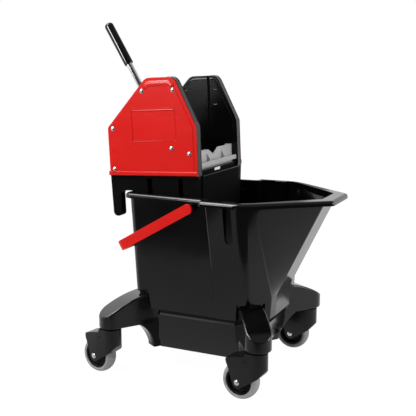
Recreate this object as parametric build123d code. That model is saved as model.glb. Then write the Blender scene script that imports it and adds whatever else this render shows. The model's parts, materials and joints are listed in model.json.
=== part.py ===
"""Wheeled mop bucket with a geared side-press wringer, built as a bench would take it apart.

Frame: +X towards the pouring lip, +Y to the left, +Z up, floor at Z = 0, millimetres.
The lever side of the wringer is the right-hand side, at -Y.
"""

import math
import os

from build123d import *

# Castors
WHEEL_RADIUS = 37.5
TYRE_WIDTH = 28.0
HUB_RADIUS = 27.5
AXLE_RADIUS = 4.0
STEM_RADIUS = 5.5
CASTOR_TRAIL = 35.5
FORK_HALF_WIDTH = 20.0
FORK_CHEEK = 4.0
FORK_RIDGE = 8.0
FORK_BEAK_HALF = 17.2
FORK_TOP = 101.0
FORK_NOSE_RADIUS = 19.5
STEM_X_FRONT = 143.0
STEM_X_REAR = -181.0
STEM_Y = 154.0
SWIVEL_REST = {"front_right": -6.0, "front_left": -3.0, "rear_right": -11.0, "rear_left": -4.0}

# Castor arms
ARM_RADIUS = 26.0
ARM_BOTTOM = 104.5
ARM_END_TOP = 127.5
ARM_ROOT_TOP = 170.0
ARM_ROOT_Y = 88.0
ARM_ROOT_SETBACK = 45.0
LEG_FOOT = -11.0
LEG_FOOT_HALF = 14.0
ARM_DEPTH = 36.0
ARCH_END = 28.0
ARM_CROWN_ROUND = 4.0
ARM_HEM_ROUND = 2.5
LEG_ROUND = 3.0
TONGUE_REACH = 46.0
TONGUE_HALF = 13.0
TONGUE_THICK = 6.0
SCREW_SETBACK = 33.0
POCKET_MARGIN = 3.0
POCKET_TOP = 173.5
POCKET_DEPTH = 4.0
SOCKET_DEPTH = 20.0

# Bucket shell
WALL = 4.0
FLOOR_Z = 46.0
SUMP_BEND_Z = 74.0
SUMP_Z = 122.0
BAND_Z = 138.0
SPOUT_Z = 184.0
LIP_Z = 372.5
RIM_TOP = 382.5
NECK_INSET = 5.0

# Bail handle
BAIL_PIVOT = (-8.0, 362.7)
BAIL_REACH = 180.4
BAIL_DROP = 29.9
BAIL_WIDTH = 20.4
BAIL_THICK = 6.0
BAIL_GRIP_THICK = 7.0
BAIL_ARM_Y = 147.0
BAIL_PIN_RADIUS = 4.0
BAIL_BOSS_RADIUS = 7.0
BAIL_SOCKET = 4.5

# Wringer, in its own frame: u forward, w up, zero at the front lower corner of the cover
WRINGER_X = -4.0
WRINGER_Z = 421.6
WRINGER_TILT = 2.6
CHEEK_LENGTH = 200.0
KNEE_HEIGHT = 97.0
CHEEK_HEIGHT = 194.0
CHEEK_TOP_FRONT = -44.0
CHEEK_TOP_REAR = -106.5
CHEEK_INNER = 91.0
CHEEK_WALL = 2.0
COVER_INNER = 108.5
COVER_OUTER = 111.0
BASKET_BOTTOM = -118.0

# Lever and press gearing
MODULE = 2.0
PINION_TEETH = 12
SECTOR_TEETH = 28
ADDENDUM = 0.8 * MODULE
DEDENDUM = 1.15 * MODULE
BACKLASH = 0.25
PRESSURE_ANGLE = 20.0
LEVER_U = -55.0
LEVER_W = 54.5
GEAR_LINE_ANGLE = 163.9
LEVER_LEAN = 28.0
LEVER_LENGTH = 283.0
LEVER_TUBE_RADIUS = 6.5
LEVER_TUBE_Y = -101.25
GRIP_LENGTH = 100.0
GRIP_RADIUS = 9.2
GRIP_DOME = 6.0
LEVER_AXLE_RADIUS = 5.0
AXLE_NECK_RADIUS = 3.2
DRIVE_HALF = 7.5
PRESS_HUB_RADIUS = 8.0
SCREW_RADIUS = 2.0
SCREW_HEAD_RADIUS = 4.6
SCREW_HEAD_RISE = 2.6
HOLE_SLACK = 0.1
HEAD_SEAT = 0.4
RIDGE_RISE = 3.0
PANEL_DEPTH = 0.45
PANEL_ROUND = 3.0
BEAD_WIDTH = 2.2
BEAD_RISE = 0.5

RUN = 0.05
GEAR_FRONT_Y = -98.2
GEAR_BACK_Y = -93.4
GEAR_CENTRES = (SECTOR_TEETH + PINION_TEETH) * MODULE / 2
PRESS_U = LEVER_U - GEAR_CENTRES * math.cos(math.radians(GEAR_LINE_ANGLE))
PRESS_W = LEVER_W - GEAR_CENTRES * math.sin(math.radians(GEAR_LINE_ANGLE))
WRINGER_PLACE = Location((WRINGER_X, 0, WRINGER_Z), (0, -WRINGER_TILT, 0))


# Shared shape helpers
def rounded_face(points, radii):
    """Closed polygon whose corners named in radii (index to radius) are rounded."""
    face = Sketch() + make_face(Polyline(*points, close=True))
    for index, radius in radii.items():
        corner = face.vertices().sort_by_distance((*points[index], 0))[0]
        face = fillet(corner, radius)
    return face


def prism(face, y_low, y_high):
    """Sweep a face drawn in X and Z along Y."""
    return extrude(Plane.XZ.offset(-y_high) * face, amount=y_high - y_low)


def slab(points, y_low, y_high, radii=None):
    return prism(rounded_face(points, radii or {}), y_low, y_high)


def block(x0, x1, y0, y1, z0, z1):
    return Pos((x0 + x1) / 2, (y0 + y1) / 2, (z0 + z1) / 2) * Box(x1 - x0, y1 - y0, z1 - z0)


def pin_y(x, z, radius, y0, y1):
    """Round bar along Y between y0 and y1."""
    return Pos(x, (y0 + y1) / 2, z) * Rot(90, 0, 0) * Cylinder(radius, y1 - y0)


def post(x, y, radius, z0, z1):
    return Pos(x, y, (z0 + z1) / 2) * Cylinder(radius, z1 - z0)


def dome_head(x, z, y_seat, side, radius, rise):
    """Domed fastener head standing off a face at y_seat, towards side."""
    ball = (radius**2 + rise**2) / (2 * rise)
    cap = Pos(0, side * (rise - ball), 0) * Sphere(ball)
    cap &= Pos(0, side * rise, 0) * Box(4 * radius, 2 * rise, 4 * radius)
    return Pos(x, y_seat, z) * cap


def both_sides(half):
    """Full plan outline from its +Y half, given rear to front."""
    return half + [(x, -y) for x, y in reversed(half)]


def inset(points, distance):
    """Move every edge of a clockwise polygon inwards by distance."""
    moved = []
    count = len(points)
    for i in range(count):
        before, here, after = points[i - 1], points[i], points[(i + 1) % count]
        lines = []
        for a, b in ((before, here), (here, after)):
            length = math.dist(a, b)
            normal = ((b[1] - a[1]) / length, (a[0] - b[0]) / length)
            lines.append((normal, normal[0] * a[0] + normal[1] * a[1] + distance))
        (n1, c1), (n2, c2) = lines
        det = n1[0] * n2[1] - n1[1] * n2[0]
        moved.append(((c1 * n2[1] - c2 * n1[1]) / det, (n1[0] * c2 - n2[0] * c1) / det))
    return moved


# Bucket plan at several heights, rear to front: rear corner, flank step twice, shoulder, spout root, lip
SUMP_LOW = [(-124, 60), (-110, 76.5), (74, 76.5), (90, 60)]
SUMP_BEND = [(-130, 67), (-114.5, 84), (96, 84), (114, 64)]
SUMP_HIGH = [(-133, 73), (-117.5, 92.5), (105, 92.5), (125, 71)]
PLAN_BAND = [(-149, 107), (38, 109.5), (38, 112.5), (104, 107), (134, 68), (136, 42)]
PLAN_SPOUT = [(-149.5, 112.5), (36, 115.5), (36, 122), (106, 117), (138, 70), (139, 41)]
PLAN_LIP = [(-152, 127), (29, 137), (29, 154.5), (102, 156), (126, 140), (231, 41)]
PLAN_RIM = [(-160.5, 135.5), (20, 145.5), (20, 163), (106, 164.5), (133, 147), (253, 51)]
SUMP_RADII = [10, 10, 10, 10]
BAND_RADII = [14, 1.2, 1.2, 12, 8, 6]
SPOUT_RADII = [14, 2.5, 2.5, 12, 8, 6]
LIP_RADII = [14, 6, 6, 45, 8, 8]
RIM_RADII = [20, 5, 5, 50, 10, 10]
RIM_ROUND = 6.5


def plan_face(half, radii, z, thickness=0.0):
    points = both_sides(half)
    full_radii = radii + radii[::-1]
    if thickness:
        points = inset(points, thickness)
        full_radii = [max(radius - thickness, 1.0) for radius in full_radii]
    return Pos(0, 0, z) * rounded_face(points, dict(enumerate(full_radii)))


def bucket_skin(thickness, top):
    """Sump, shadow groove, body and flared spout as one solid, inside the outer skin by thickness."""
    sump_top = SUMP_Z - thickness
    ledge = BAND_Z + thickness
    sump = loft(
        [
            plan_face(SUMP_LOW, SUMP_RADII, FLOOR_Z + thickness, thickness),
            plan_face(SUMP_BEND, SUMP_RADII, SUMP_BEND_Z, thickness),
            plan_face(SUMP_HIGH, SUMP_RADII, sump_top, thickness),
        ],
        ruled=True,
    )
    neck = extrude(
        plan_face(SUMP_HIGH, SUMP_RADII, sump_top, NECK_INSET + thickness), amount=ledge - sump_top
    )
    body = loft(
        [
            plan_face(PLAN_BAND, BAND_RADII, ledge, thickness),
            plan_face(PLAN_SPOUT, SPOUT_RADII, SPOUT_Z, thickness),
            plan_face(PLAN_LIP, LIP_RADII, LIP_Z, thickness),
        ],
        ruled=True,
    )
    collar = extrude(plan_face(PLAN_LIP, LIP_RADII, LIP_Z, thickness), amount=top - LIP_Z)
    return sump + neck + body + collar


FLUTE_X = 76.0
FLUTE_LOW = 308.0
FLUTE_WALL_Y = 143.0
FLUTE_LEAN = 4.0
FLUTE_LENGTH = 90.0
FLUTE_HALF = 8.5
FLUTE_DEPTH = 3.0
SHELF_TOP = 325.5
SHELF_THICK = 12.0
SHELF_X = (-18.0, 4.0)
SHELF_INNER_Y = 94.0
SCREW_BOSS_RADIUS = 8.0
SCREW_BOSS_TOP = FLOOR_Z + 19.0


def flute(side, grow):
    """Round-ended groove in the flank under the rim, steeper than the wall and so deeper towards the top."""
    half = FLUTE_HALF + grow
    depth = FLUTE_DEPTH + grow
    groove = block(-half, half, -depth, 30, 0, FLUTE_LENGTH) + pin_y(0, 0, half, -depth, 30)
    groove = Pos(FLUTE_X, FLUTE_WALL_Y, FLUTE_LOW) * Rot(-FLUTE_LEAN, 0, 0) * groove
    return groove if side > 0 else mirror(groove, Plane.XZ)


# Castor arm places
ARM_CORNERS = [("front", -1), ("front", 1), ("rear", -1), ("rear", 1)]


def arm_frame(end, side):
    """Place of one arm, its foot at the origin and its length along +X, and that length."""
    stem_x = STEM_X_FRONT if end == "front" else STEM_X_REAR
    step = ARM_ROOT_SETBACK if end == "front" else -ARM_ROOT_SETBACK
    foot = (stem_x - step, ARM_ROOT_Y * side)
    run = (STEM_Y - ARM_ROOT_Y) * side
    turn = math.degrees(math.atan2(run, step))
    return Location((foot[0], foot[1], 0), (0, 0, turn)), math.hypot(step, run)


def arm_tongue():
    """Flat tongue of an arm, let into the underside of the sump."""
    return block(-TONGUE_REACH, -10, -TONGUE_HALF, TONGUE_HALF, FLOOR_Z, FLOOR_Z + TONGUE_THICK)


def arm_pocket(end, side, grow):
    """Block that bounds the recess in the body round one arm's root."""
    half = ARM_RADIUS + POCKET_MARGIN + grow
    low = BAND_Z - POCKET_MARGIN - grow
    return arm_frame(end, side)[0] * block(-20 - grow, 60, -half, half, low, POCKET_TOP + grow)


def make_bucket():
    outer = bucket_skin(0.0, RIM_TOP)
    inner = bucket_skin(WALL, RIM_TOP + 5)
    pocket_back = bucket_skin(POCKET_DEPTH, RIM_TOP)
    bulge_back = bucket_skin(POCKET_DEPTH + WALL, RIM_TOP)
    for end, side in ARM_CORNERS:
        outer -= arm_pocket(end, side, 0.0) - pocket_back
        inner -= arm_pocket(end, side, WALL) - bulge_back
    for side in (-1, 1):
        outer -= flute(side, 0.0)
        inner -= flute(side, WALL)
    rim_face = plan_face(PLAN_RIM, RIM_RADII, LIP_Z)
    rim = extrude(rim_face, amount=RIM_TOP - LIP_Z)
    rim = fillet(rim.faces().sort_by(Axis.Z)[-1].edges(), RIM_ROUND)
    under = extrude(plan_face(PLAN_RIM, RIM_RADII, LIP_Z, WALL), amount=RIM_TOP - LIP_Z - WALL)
    under -= extrude(plan_face(PLAN_LIP, LIP_RADII, LIP_Z), amount=RIM_TOP - LIP_Z)
    shell = outer + rim - under - inner
    skin_middle = bucket_skin(WALL / 2, RIM_TOP)
    bail_x, bail_z = BAIL_PIVOT
    boss = pin_y(bail_x, bail_z, BAIL_BOSS_RADIUS, 120, BAIL_ARM_Y - 0.4) - inner
    bore = pin_y(bail_x, bail_z, BAIL_PIN_RADIUS, 100, BAIL_ARM_Y + 1)
    shelf = block(*SHELF_X, SHELF_INNER_Y, 150, SHELF_TOP - SHELF_THICK, SHELF_TOP) & skin_middle
    for side in (-1, 1):
        for piece in (boss, shelf):
            shell += piece if side > 0 else mirror(piece, Plane.XZ)
        shell -= bore if side > 0 else mirror(bore, Plane.XZ)
    pad_top = FLOOR_Z + TONGUE_THICK + WALL
    pad = block(-TONGUE_REACH - WALL, 0, -TONGUE_HALF - WALL, TONGUE_HALF + WALL, FLOOR_Z, pad_top)
    pad += post(-SCREW_SETBACK, 0, SCREW_BOSS_RADIUS, FLOOR_Z, SCREW_BOSS_TOP)
    pilot = post(-SCREW_SETBACK, 0, 2.25, FLOOR_Z, SCREW_BOSS_TOP - 3)
    for end, side in ARM_CORNERS:
        place, _ = arm_frame(end, side)
        shell += (place * pad) & skin_middle
        shell -= place * (arm_tongue() + pilot)
    return shell, outer + rim


def round_arm(arm, length):
    """Round the crown of an arm, the hem of its castor boss and the sides of its leg."""
    crown = []
    for edge in arm.edges():
        if edge.geom_type != GeomType.LINE and edge.center().Z > ARM_BOTTOM + 10:
            crown.append(edge)
    arm = fillet(crown, ARM_CROWN_ROUND)
    hem = [edge for edge in arm.edges().filter_by_position(Axis.X, length / 2, length * 2)
           if abs(edge.center().Z - ARM_BOTTOM) < 0.1]
    arm = fillet(hem, ARM_HEM_ROUND)
    return fillet(arm.edges().filter_by(GeomType.ELLIPSE), LEG_ROUND)


def make_bracket(end, side, bucket_outer):
    """Hollow corner arm: leg hugging the sump, arched web, round castor boss, tongue under the floor."""
    place, length = arm_frame(end, side)
    reach = length + ARM_RADIUS
    outline = make_face(
        [
            Polyline((0, ARM_ROOT_TOP), (-ARM_DEPTH, ARM_ROOT_TOP), (-ARM_DEPTH, FLOOR_Z), (LEG_FOOT, FLOOR_Z)),
            ThreePointArc((LEG_FOOT, FLOOR_Z), (3, 82), (ARCH_END, ARM_BOTTOM)),
            Polyline((ARCH_END, ARM_BOTTOM), (reach, ARM_BOTTOM), (reach, ARM_END_TOP)),
            ThreePointArc((reach, ARM_END_TOP), (reach * 0.62, 151.5), (0, ARM_ROOT_TOP)),
        ]
    )
    arm = prism(outline, -ARM_RADIUS, ARM_RADIUS)
    plan = Pos(length, 0, 0) * Circle(ARM_RADIUS)
    plan += Pos((length - ARM_DEPTH) / 2, 0, 0) * Rectangle(length + ARM_DEPTH, 2 * ARM_RADIUS)
    leg = loft(
        [
            Pos(0, 0, FLOOR_Z) * Rectangle(120, 2 * LEG_FOOT_HALF),
            Pos(0, 0, ARM_BOTTOM) * Rectangle(120, 2 * ARM_RADIUS),
        ]
    )
    arm &= leg + extrude(Pos(0, 0, ARM_BOTTOM) * plan, amount=ARM_ROOT_TOP)
    arm = round_arm(arm, length)
    core_end = length - 14
    core = [(38, ARM_BOTTOM - 6), (core_end, ARM_BOTTOM - 6), (core_end, 130), (38, 148)]
    arm -= slab(core, -ARM_RADIUS + WALL, ARM_RADIUS - WALL)
    arm -= post(length, 0, STEM_RADIUS + RUN, ARM_BOTTOM - 1, ARM_BOTTOM + SOCKET_DEPTH)
    arm = place * arm - bucket_outer
    arm = max(arm.solids(), key=lambda solid: solid.volume)
    tongue = arm_tongue()
    tongue -= post(-SCREW_SETBACK, 0, 2.6, FLOOR_Z - 1, FLOOR_Z + TONGUE_THICK + 1)
    tongue -= post(-SCREW_SETBACK, 0, 5.5, FLOOR_Z - 1, FLOOR_Z + 3.5)
    return arm + place * tongue


def make_bracket_screws():
    head = post(-SCREW_SETBACK, 0, 4.5, FLOOR_Z + 0.5, FLOOR_Z + 3.5)
    screw = head + post(-SCREW_SETBACK, 0, 2.25, FLOOR_Z + 3.5, SCREW_BOSS_TOP - 3)
    return Compound(children=[arm_frame(end, side)[0] * screw for end, side in ARM_CORNERS])


# Castor pieces, with the stem axis at the origin and the wheel trailing towards -X
def castor_place(end, hand):
    x = STEM_X_FRONT if end == "front" else STEM_X_REAR
    y = STEM_Y if hand == "left" else -STEM_Y
    return Location((x, y, 0), (0, 0, SWIVEL_REST[f"{end}_{hand}"]))


def make_fork():
    tail = -CASTOR_TRAIL
    side = make_face(
        [
            Polyline((FORK_NOSE_RADIUS, FORK_TOP), (FORK_NOSE_RADIUS, 66), (8, 52), (tail + 9, 29)),
            ThreePointArc((tail + 9, 29), (tail, 25.5), (tail - 9, 30)),
            Polyline((tail - 9, 30), (tail - 21, 66), (tail - 28, 78), (tail - 26, 82)),
            ThreePointArc((tail - 26, 82), (tail - 6, 88.5), (tail + 14, 92)),
            Polyline((tail + 14, 92), (tail + 18, FORK_TOP), (FORK_NOSE_RADIUS, FORK_TOP)),
        ]
    )
    body = prism(side, -FORK_HALF_WIDTH, FORK_HALF_WIDTH)
    ridge = tail + FORK_RIDGE
    back = rounded_face(
        [
            (0, -FORK_HALF_WIDTH), (0, FORK_HALF_WIDTH), (ridge, FORK_HALF_WIDTH), (-66, FORK_BEAK_HALF),
            (-66, -FORK_BEAK_HALF), (ridge, -FORK_HALF_WIDTH),
        ],
        {3: 10, 4: 10},
    )
    body &= extrude(back + Circle(FORK_NOSE_RADIUS), amount=FORK_TOP + 10)
    gap = FORK_HALF_WIDTH - FORK_CHEEK - 0.3
    body -= pin_y(tail, WHEEL_RADIUS, WHEEL_RADIUS + 3, -gap, gap)
    body -= block(tail - 40, tail, -gap, gap, 10, 66)
    body -= pin_y(tail, WHEEL_RADIUS, AXLE_RADIUS + HOLE_SLACK, -30, 30)
    body -= post(0, 0, STEM_RADIUS, FORK_TOP - 16, FORK_TOP + 1)
    for hand in (-1, 1):
        dimple = slab([(-26, 84), (-10, 86), (-14, 81)], 0, 2, {0: 1.0, 1: 1.0, 2: 1.5})
        body -= Pos(0, hand * FORK_HALF_WIDTH - 1, 0) * dimple
    return body


def make_stem():
    shank = post(0, 0, STEM_RADIUS, FORK_TOP - 16, ARM_BOTTOM + SOCKET_DEPTH - 1)
    collar = post(0, 0, 9.0, FORK_TOP, ARM_BOTTOM - 0.6)
    return chamfer((shank + collar).edges().sort_by(Axis.Z)[-1], 1.0)


def make_axle():
    tail = -CASTOR_TRAIL
    bar = pin_y(tail, WHEEL_RADIUS, AXLE_RADIUS, -FORK_HALF_WIDTH, FORK_HALF_WIDTH)
    for hand in (-1, 1):
        bar += dome_head(tail, WHEEL_RADIUS, hand * FORK_HALF_WIDTH, hand, 5.5, 1.8)
    return bar


def make_hub():
    half = FORK_HALF_WIDTH - FORK_CHEEK - 0.6
    bore = AXLE_RADIUS + RUN
    profile = make_face(
        Polyline(
            (bore, -half), (9, -half), (11, -4), (22, -4), (23.5, -12), (HUB_RADIUS, -12),
            (HUB_RADIUS, 12), (23.5, 12), (22, 4), (11, 4), (9, half), (bore, half),
            close=True,
        )
    )
    return Pos(-CASTOR_TRAIL, 0, WHEEL_RADIUS) * revolve(profile, Axis.Y)


def make_tyre():
    half = TYRE_WIDTH / 2
    profile = make_face(
        [
            Polyline((HUB_RADIUS, 12), (HUB_RADIUS, -12), (30, -half), (33, 0.5 - half)),
            ThreePointArc((33, 0.5 - half), (WHEEL_RADIUS, 0), (33, half - 0.5)),
            Polyline((33, half - 0.5), (30, half), (HUB_RADIUS, 12)),
        ]
    )
    return Pos(-CASTOR_TRAIL, 0, WHEEL_RADIUS) * revolve(profile, Axis.Y)


# Bail handle
def make_bail():
    """Flat strap: two arms with blind eyes and a rear cross strap, hanging by its drop angle."""
    half = BAIL_WIDTH / 2
    outer_y = BAIL_ARM_Y + BAIL_THICK
    grip_inner = BAIL_GRIP_THICK - BAIL_REACH
    plan = rounded_face(
        [(half, -outer_y), (half, outer_y), (-BAIL_REACH, outer_y), (-BAIL_REACH, -outer_y)], {2: 16, 3: 16}
    )
    window = rounded_face(
        [(half + 1, -BAIL_ARM_Y), (half + 1, BAIL_ARM_Y), (grip_inner, BAIL_ARM_Y), (grip_inner, -BAIL_ARM_Y)],
        {2: 10, 3: 10},
    )
    strap = extrude(plan - window, amount=half, both=True)
    side = slab([(-BAIL_REACH - 1, -half), (0, -half), (0, half), (-BAIL_REACH - 1, half)], -outer_y, outer_y)
    strap &= side + pin_y(0, 0, half, -outer_y, outer_y)
    socket = BAIL_ARM_Y + BAIL_SOCKET
    strap -= pin_y(0, 0, BAIL_PIN_RADIUS + RUN, -socket, socket)
    return Location((BAIL_PIVOT[0], 0, BAIL_PIVOT[1]), (0, -BAIL_DROP, 0)) * strap


def make_bail_pins():
    x, z = BAIL_PIVOT
    tip = BAIL_ARM_Y + BAIL_SOCKET - 0.3
    pin = chamfer(pin_y(x, z, BAIL_PIN_RADIUS, 130, tip).edges().sort_by(Axis.Y)[-1], 0.8)
    return Compound(children=[pin, mirror(pin, Plane.XZ)])


# Wringer frame: two hollow cheeks, hooked legs, front bar and a drained chute, one moulding
CHEEK_OUTLINE = [
    (0, 0), (0, KNEE_HEIGHT), (CHEEK_TOP_FRONT, CHEEK_HEIGHT), (CHEEK_TOP_REAR, CHEEK_HEIGHT),
    (-CHEEK_LENGTH, KNEE_HEIGHT), (-CHEEK_LENGTH, 0),
]
CHEEK_RADII = {1: 14, 2: 20, 3: 20, 4: 10}
FIELD_OUTLINE = inset(CHEEK_OUTLINE, -7.0)
FIELD_RADII = {1: 11, 2: 15, 3: 15, 4: 7}
FIELD_RISE = 1.0
WEB_RISE = 0.55
WEB_GROOVE = (-66.0, -60.0)
SPOT_RADIUS = 5.0
SPOT_RISE = 0.3
BAND_THICK = 3.0
LEVER_GATE = (-108.0, 50.0)
COVER_SCREWS_SHORT = [(-115.4, 167.8), (-187.4, 94.6)]
COVER_SCREWS_LONG = [(-46.6, 168.0), (-188.2, 12.1)]
LEVER_STOP = (-91.3, 148.4)
SLOT_FRONT = -140.5
SLOT_REAR = -178.5
SLOT_TOP = -31.5
LEG_BOTTOM = -85.0
SIDE_BOTTOM = -95.0
GROOVES = [(-115.0, -104.0), (-44.0, -35.0)]
REAR_WALL = [(-194, 70), (-194, 25), (-134, -28), (-98, BASKET_BOTTOM)]
DRAIN_SLOTS = 9
DRAIN_PITCH = 18.0


# Press plate, in the wringer's frame
PRESS_HALF = 90.0
PRESS_TOP = 45.0
PRESS_NOTCH = 33.5
PRESS_FRONT = -13.0
PRESS_BACK = -20.0
PRESS_BOTTOM = -104.0
PRESS_PIN_RADIUS = 2.5
PRESS_SOCKET = 12.0
FLANGE_TOP = 22.0
FLANGE_FRONT = -3.0
LIP_BOTTOM = 14.0
GUSSET_Y = 36.0
SCRUB_RIBS = 7
SCRUB_PITCH = 24.0
EAR_START = 76.0
EAR_TOP = 47.0
KEY_END = -78.0


def make_cheek(gate):
    """One cheek drawn at +Y: inner web, edge band, lower box with hooked leg, a gate for the lever if asked."""
    web = slab(CHEEK_OUTLINE, CHEEK_INNER, CHEEK_INNER + CHEEK_WALL, CHEEK_RADII)
    web += slab(FIELD_OUTLINE, CHEEK_INNER - WEB_RISE, CHEEK_INNER, FIELD_RADII)
    web -= block(*WEB_GROOVE, CHEEK_INNER - 1, CHEEK_INNER + 0.7, KNEE_HEIGHT, CHEEK_HEIGHT - 7)
    inside = CHEEK_INNER + CHEEK_WALL
    band = slab(CHEEK_OUTLINE, inside, COVER_INNER, CHEEK_RADII)
    band -= slab(inset(CHEEK_OUTLINE, -BAND_THICK), inside - 1, COVER_INNER + 1, CHEEK_RADII)
    if gate:
        front, low = LEVER_GATE
        band -= block(-CHEEK_LENGTH - 1, front, inside - 1, COVER_INNER + 1, low, CHEEK_HEIGHT + 1)
    lower = [
        (0, 0), (-CHEEK_LENGTH, 0), (-CHEEK_LENGTH + 2, LEG_BOTTOM), (SLOT_REAR, LEG_BOTTOM),
        (SLOT_REAR, SLOT_TOP), (SLOT_FRONT, SLOT_TOP), (SLOT_FRONT, SIDE_BOTTOM), (-6, SIDE_BOTTOM),
    ]
    box = slab(lower, CHEEK_INNER, COVER_INNER, {2: 9, 3: 8, 4: 8, 5: 8, 6: 10, 7: 10})
    for u0, u1 in GROOVES:
        box -= block(u0, u1, COVER_INNER - 12, COVER_INNER + 1, SIDE_BOTTOM - 1, -6)
    cheek = web + band + box
    for u, w in (COVER_SCREWS_SHORT[0], COVER_SCREWS_LONG[0]):
        cheek += pin_y(u, w, SPOT_RADIUS, CHEEK_INNER - WEB_RISE - SPOT_RISE, CHEEK_INNER)
    for u, w in COVER_SCREWS_LONG:
        cheek += pin_y(u, w, 6.0, inside, COVER_INNER)
        cheek -= pin_y(u, w, SCREW_RADIUS + HOLE_SLACK, inside + 2, COVER_INNER + 1)
    return cheek


def make_wringer_frame():
    frame = make_cheek(False) + mirror(make_cheek(True), Plane.XZ)
    frame += pin_y(*LEVER_STOP, 5.0, -COVER_INNER + 0.5, -CHEEK_INNER)
    span = CHEEK_INNER + 1
    front_wall = [(2.5, -2), (-2, -2), (-9, BASKET_BOTTOM), (-5, BASKET_BOTTOM)]
    front_bar = [(-5.5, 8.5), (-12, 8.5), (-12, -6), (0, -6), (0, -2), (-5.5, -2)]
    frame += slab(front_wall, -span, span)
    frame += slab(front_bar, -span, span, {0: 2.0, 1: 2.0})
    thick = 4.0
    behind = [(u - thick, w) for u, w in REAR_WALL]
    frame += slab(REAR_WALL + behind[::-1], -span, span)
    floor = block(REAR_WALL[-1][0] - thick, -5, -span, span, BASKET_BOTTOM - thick, BASKET_BOTTOM)
    for i in range(DRAIN_SLOTS):
        y = (i - (DRAIN_SLOTS - 1) / 2) * DRAIN_PITCH
        floor -= block(-88, -20, y - 4, y + 4, BASKET_BOTTOM - thick - 1, BASKET_BOTTOM + 1)
    frame += floor
    frame -= pin_y(LEVER_U, LEVER_W, LEVER_AXLE_RADIUS + HOLE_SLACK, -CHEEK_INNER - 5, -CHEEK_INNER + 5)
    frame -= pin_y(PRESS_U, PRESS_W, PRESS_HUB_RADIUS + RUN, -CHEEK_INNER - 5, -CHEEK_INNER + 5)
    frame -= pin_y(PRESS_U, PRESS_W, PRESS_PIN_RADIUS + HOLE_SLACK, CHEEK_INNER - 5, CHEEK_INNER + 5)
    return frame


PANEL = [(-142, 69), (-142, 131), (-46, 133), (-46, 71)]


def make_cover(side):
    """Pressed side cover: rolled top edge, shallow sunk panel with a bead round it, ridge along its foot."""
    border = COVER_OUTER - FIELD_RISE
    plate = slab(CHEEK_OUTLINE, COVER_INNER, border, CHEEK_RADII)
    top_edges = [edge for edge in plate.faces().sort_by(Axis.Y)[-1].edges() if edge.center().Z > 3]
    plate = fillet(top_edges, 1.0)
    field = slab(FIELD_OUTLINE, COVER_INNER, COVER_OUTER, FIELD_RADII)
    plate += fillet(field.faces().sort_by(Axis.Y)[-1].edges(), 0.7)
    ridge = slab([(0, 0), (-CHEEK_LENGTH - 1.5, 0), (-CHEEK_LENGTH - 1.5, 9), (0, 9)],
                 COVER_OUTER - 1, COVER_OUTER + RIDGE_RISE)
    ridge = fillet(ridge.faces().sort_by(Axis.Y)[-1].edges(), 2.5)
    plate += ridge
    bead_radii = dict.fromkeys(range(4), PANEL_ROUND + BEAD_WIDTH)
    bead = slab(inset(PANEL, -BEAD_WIDTH), COVER_OUTER - 1, COVER_OUTER + BEAD_RISE, bead_radii)
    plate += fillet(bead.faces().sort_by(Axis.Y)[-1].edges(), 0.8 * BEAD_RISE)
    panel_radii = dict.fromkeys(range(4), PANEL_ROUND)
    plate -= slab(PANEL, COVER_OUTER - PANEL_DEPTH, COVER_OUTER + 2, panel_radii)
    for u, w in COVER_SCREWS_SHORT + COVER_SCREWS_LONG:
        plate -= pin_y(u, w, SCREW_RADIUS + HOLE_SLACK, COVER_INNER - 1, COVER_OUTER + 1)
        plate -= pin_y(u, w, SCREW_HEAD_RADIUS + HEAD_SEAT, COVER_OUTER, COVER_OUTER + RIDGE_RISE + 1)
    plate -= pin_y(PRESS_U, PRESS_W, PRESS_PIN_RADIUS + HOLE_SLACK, COVER_INNER - 1, COVER_OUTER + 1)
    if side > 0:
        return plate
    plate -= pin_y(LEVER_U, LEVER_W, AXLE_NECK_RADIUS + HOLE_SLACK, COVER_INNER - 1, COVER_OUTER + 1)
    return mirror(plate, Plane.XZ)


def make_cover_screws(side):
    screws = []
    for spots, depth in ((COVER_SCREWS_SHORT, COVER_INNER), (COVER_SCREWS_LONG, CHEEK_INNER + 4)):
        for u, w in spots:
            screw = pin_y(u, w, SCREW_RADIUS, *sorted((side * depth, side * COVER_OUTER)))
            screws.append(screw + dome_head(u, w, side * COVER_OUTER, side, SCREW_HEAD_RADIUS, SCREW_HEAD_RISE))
    return Compound(children=screws)


# Gear teeth
def involute_tooth(teeth, tip_radius, root_radius, thinning):
    """One tooth pointing along +X, flanks as true involutes, root sunk below root_radius."""
    pitch = teeth * MODULE / 2
    base = pitch * math.cos(math.radians(PRESSURE_ANGLE))

    def involute(radius):
        ratio = math.sqrt(max((radius / base) ** 2 - 1, 0.0))
        return ratio - math.atan(ratio)

    half = math.pi / (2 * teeth) - thinning / (2 * pitch)
    start = max(base, root_radius)
    flank = []
    for step in range(5):
        radius = start + (tip_radius - start) * step / 4
        angle = half + involute(pitch) - involute(radius)
        flank.append((radius, angle))
    flank.insert(0, (root_radius - 1.0, flank[0][1]))
    upper = [(r * math.cos(a), r * math.sin(a)) for r, a in flank]
    lower = [(x, -y) for x, y in reversed(upper)]
    return make_face(Polyline(*upper, *lower, close=True))


def make_pinion():
    pitch = PINION_TEETH * MODULE / 2
    root = pitch - DEDENDUM
    tooth = involute_tooth(PINION_TEETH, pitch + ADDENDUM, root, BACKLASH)
    face = Sketch() + Circle(root)
    for i in range(PINION_TEETH):
        face += Rot(0, 0, GEAR_LINE_ANGLE + 360 / PINION_TEETH * i) * tooth
    gear = prism(face, GEAR_FRONT_Y, GEAR_BACK_Y)
    square = block(-DRIVE_HALF, DRIVE_HALF, BLADE_FRONT_Y, GEAR_FRONT_Y, -DRIVE_HALF, DRIVE_HALF)
    gear += Rot(0, -LEVER_LEAN, 0) * square
    gear -= pin_y(0, 0, LEVER_AXLE_RADIUS + RUN, -120, -80)
    return Pos(LEVER_U, 0, LEVER_W) * gear


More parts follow.
